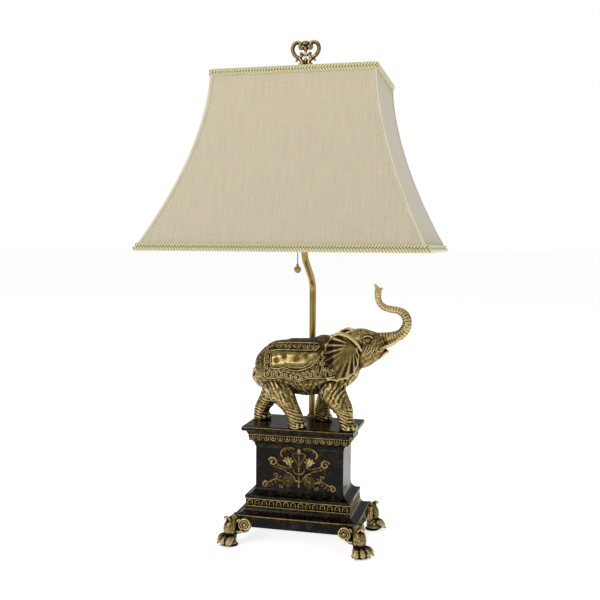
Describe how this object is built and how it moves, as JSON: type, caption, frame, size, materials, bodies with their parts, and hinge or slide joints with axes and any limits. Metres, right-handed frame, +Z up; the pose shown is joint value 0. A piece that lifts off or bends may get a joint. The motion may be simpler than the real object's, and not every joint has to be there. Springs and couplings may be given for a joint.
{
  "type": "table lamp",
  "caption": "Table lamp: a gilt elephant with raised trunk on a black moulded pedestal with paw feet, a bent stem behind it, and a rectangular bell shade with a scroll finial.",
  "frame": {"origin": "on the floor, under the vertical axis of the lamp holder and shade", "axes": "+Z up, +X to the right, the way the elephant faces, +Y to the back, where the stem stands"},
  "size_m": [0.4118, 0.3416, 0.762],
  "materials": {
    "gilt_resin": "cast resin with an antique gold leaf finish, rubbed bright on the high places and dark brown in the recesses",
    "black_resin": "cast resin in glossy black lacquer with faint brown marbling",
    "antique_brass": "antique brass, brushed and lacquered",
    "zinc_steel": "zinc plated steel",
    "black_rubber": "moulded rubber",
    "felt": "pressed black felt",
    "liner_card": "insulating fibre card",
    "black_bakelite": "moulded phenolic",
    "bulb_cap": "thin rolled aluminium",
    "bulb_glass": "frosted glass",
    "shade_silk": "slubby raw silk in warm beige",
    "lining_cloth": "white styrene-backed cloth",
    "shade_braid": "woven cord braid in pale olive"
  },
  "bodies": {
    "lamp": {"felt_pads": "felt", "foot_front_left": "gilt_resin", "foot_front_right": "gilt_resin", "foot_back_left": "gilt_resin", "foot_back_right": "gilt_resin", "foot_screws": "zinc_steel", "plinth": "black_resin", "bottom_plate": "zinc_steel", "bottom_plate_screws": "zinc_steel", "cord_bush": "black_rubber", "lower_gilt_band": "gilt_resin", "pedestal_die": "black_resin", "panel_relief": "gilt_resin", "cornice": "black_resin", "upper_gilt_band": "gilt_resin", "top_slab": "black_resin", "tie_rod": "zinc_steel", "tie_nut": "zinc_steel", "elephant": "gilt_resin", "elephant_tusks": "gilt_resin", "elephant_screws": "zinc_steel", "stem_insert": "antique_brass", "stem_collar": "antique_brass", "stem": "antique_brass", "harp_saddle": "antique_brass", "socket_cap": "antique_brass", "socket_shell": "antique_brass", "socket_liner": "liner_card", "switch_block": "black_bakelite", "screw_shell": "antique_brass", "centre_contact": "antique_brass", "chain_bell": "antique_brass", "harp": "antique_brass", "harp_stud": "antique_brass"},
    "harp_sleeve_left": {"harp_sleeve_left": "antique_brass"},
    "harp_sleeve_right": {"harp_sleeve_right": "antique_brass"},
    "shade": {"shade_spider": "antique_brass", "shade_top_wire": "zinc_steel", "shade_bottom_wire": "zinc_steel", "shade_ribs": "zinc_steel", "shade_panel_front": "shade_silk", "shade_panel_back": "shade_silk", "shade_panel_left": "shade_silk", "shade_panel_right": "shade_silk", "shade_lining": "lining_cloth", "shade_corner_tapes": "shade_braid", "shade_braid_top": "shade_braid", "shade_braid_bottom": "shade_braid"},
    "finial": {"finial_nut": "antique_brass", "finial": "antique_brass"},
    "chain_link": {"chain_link": "antique_brass"},
    "pull_chain": {"pull_chain": "antique_brass", "chain_ball": "antique_brass"},
    "bulb": {"bulb_base": "bulb_cap", "bulb_glass": "bulb_glass"}
  },
  "joints": [
    {"name": "harp_sleeve_left_lift", "type": "slide", "parent": "lamp", "child": "harp_sleeve_left", "axis": [0, 0, 1], "range_m": [0, 0.012]},
    {"name": "harp_sleeve_right_lift", "type": "slide", "parent": "lamp", "child": "harp_sleeve_right", "axis": [0, 0, 1], "range_m": [0, 0.012]},
    {"name": "shade_swivel", "type": "hinge", "parent": "lamp", "child": "shade", "pos_m": [0, 0, 0.699], "axis": [0, 0, 1], "continuous": true},
    {"name": "finial_turn", "type": "hinge", "parent": "lamp", "child": "finial", "pos_m": [0, 0, 0.705], "axis": [0, 0, 1], "continuous": true},
    {"name": "chain_pull", "type": "slide", "parent": "lamp", "child": "chain_link", "axis": [-0.2132, -0.977, 0], "range_m": [0, 0.008], "stiffness_N_per_m": 600},
    {"name": "chain_swing", "type": "hinge", "parent": "chain_link", "child": "pull_chain", "pos_m": [-0.0048, -0.022, 0.4827], "axis": [0, 1, 0], "range_deg": [-20, 20]},
    {"name": "bulb_turn", "type": "hinge", "parent": "lamp", "child": "bulb", "pos_m": [0, 0, 0.51], "axis": [0, 0, 1], "continuous": true}
  ]
}
